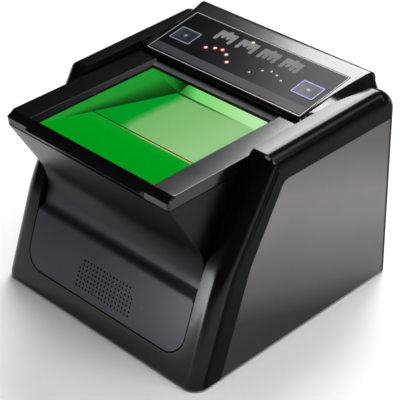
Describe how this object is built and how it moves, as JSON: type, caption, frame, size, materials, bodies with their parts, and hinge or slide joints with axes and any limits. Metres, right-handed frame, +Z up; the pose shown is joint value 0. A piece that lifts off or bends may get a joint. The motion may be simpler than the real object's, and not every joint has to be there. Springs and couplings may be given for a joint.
{
  "type": "fingerprint scanner terminal",
  "caption": "Wedge-nosed desktop fingerprint scanner with a green-lit glass platen, side cheeks and a sloping glossy panel with sprung keys and hand-placement lamps.",
  "frame": {"origin": "centre of the bounding box in plan, on the table under the rubber feet", "axes": "+Z up, -Y towards the user (front), +X to the user's right"},
  "size_m": [0.152, 0.152, 0.1227],
  "materials": {
    "case_black": "gloss",
    "panel_black": "matte",
    "tray_black": "matte",
    "foot_rubber": "matte",
    "inlay_grey": "satin",
    "front_grey": "matte",
    "nose_black": "satin",
    "deck_black": "gloss",
    "gasket_rubber": "matte",
    "platen_glass": "polished",
    "cradle_grey": "matte",
    "diffuser_white": "satin",
    "circuit_board": "satin",
    "led_green": "gloss",
    "housing_black": "gloss",
    "overlay_black": "polished",
    "key_plastic": "gloss",
    "switch_metal": "satin",
    "lamp_red": "gloss",
    "lamp_clear": "gloss",
    "lamp_green": "gloss",
    "bracket_aluminium": "satin",
    "mirror_glass": "polished",
    "sensor_black": "gloss",
    "lens_black": "anodised",
    "chip_black": "matte",
    "jack_black": "satin",
    "speaker_black": "matte",
    "ribbon_grey": "satin",
    "screw_steel": "satin"
  },
  "bodies": {
    "terminal": {"outer_casing": "case_black", "rear_port_panel": "panel_black", "base_tray": "tray_black", "rubber_feet": "foot_rubber", "side_inlay_left": "inlay_grey", "side_inlay_right": "inlay_grey", "front_panel": "front_grey", "nose_shell": "nose_black", "platen_frame": "deck_black", "platen_gasket": "gasket_rubber", "platen_prism": "platen_glass", "prism_cradle": "cradle_grey", "diffuser_panel": "diffuser_white", "backlight_board": "circuit_board", "backlight_leds": "led_green", "control_housing": "housing_black", "control_overlay": "overlay_black", "key_switches": "switch_metal", "control_board": "circuit_board", "left_hand_lamps": "lamp_red", "right_hand_lamps": "lamp_clear", "status_lamp": "lamp_green", "optics_bracket": "bracket_aluminium", "fold_mirror": "mirror_glass", "camera_board": "circuit_board", "image_sensor": "sensor_black", "lens_barrel": "lens_black", "main_board": "circuit_board", "board_chips": "chip_black", "heat_sink": "bracket_aluminium", "usb_socket": "switch_metal", "power_jack": "jack_black", "speaker": "speaker_black", "ribbon_cable": "ribbon_grey", "base_screws": "screw_steel", "board_screws": "screw_steel", "port_panel_screws": "screw_steel", "lock_slot_plate": "screw_steel"},
    "left_key": {"key_left": "key_plastic"},
    "right_key": {"key_right": "key_plastic"}
  },
  "joints": [
    {"name": "left_key_press", "type": "slide", "parent": "terminal", "child": "left_key", "axis": [0, 0.1657, -0.9862], "range_m": [0, 0.0004], "stiffness_N_per_m": 1200},
    {"name": "right_key_press", "type": "slide", "parent": "terminal", "child": "right_key", "axis": [0, 0.1657, -0.9862], "range_m": [0, 0.0004], "stiffness_N_per_m": 1200}
  ]
}
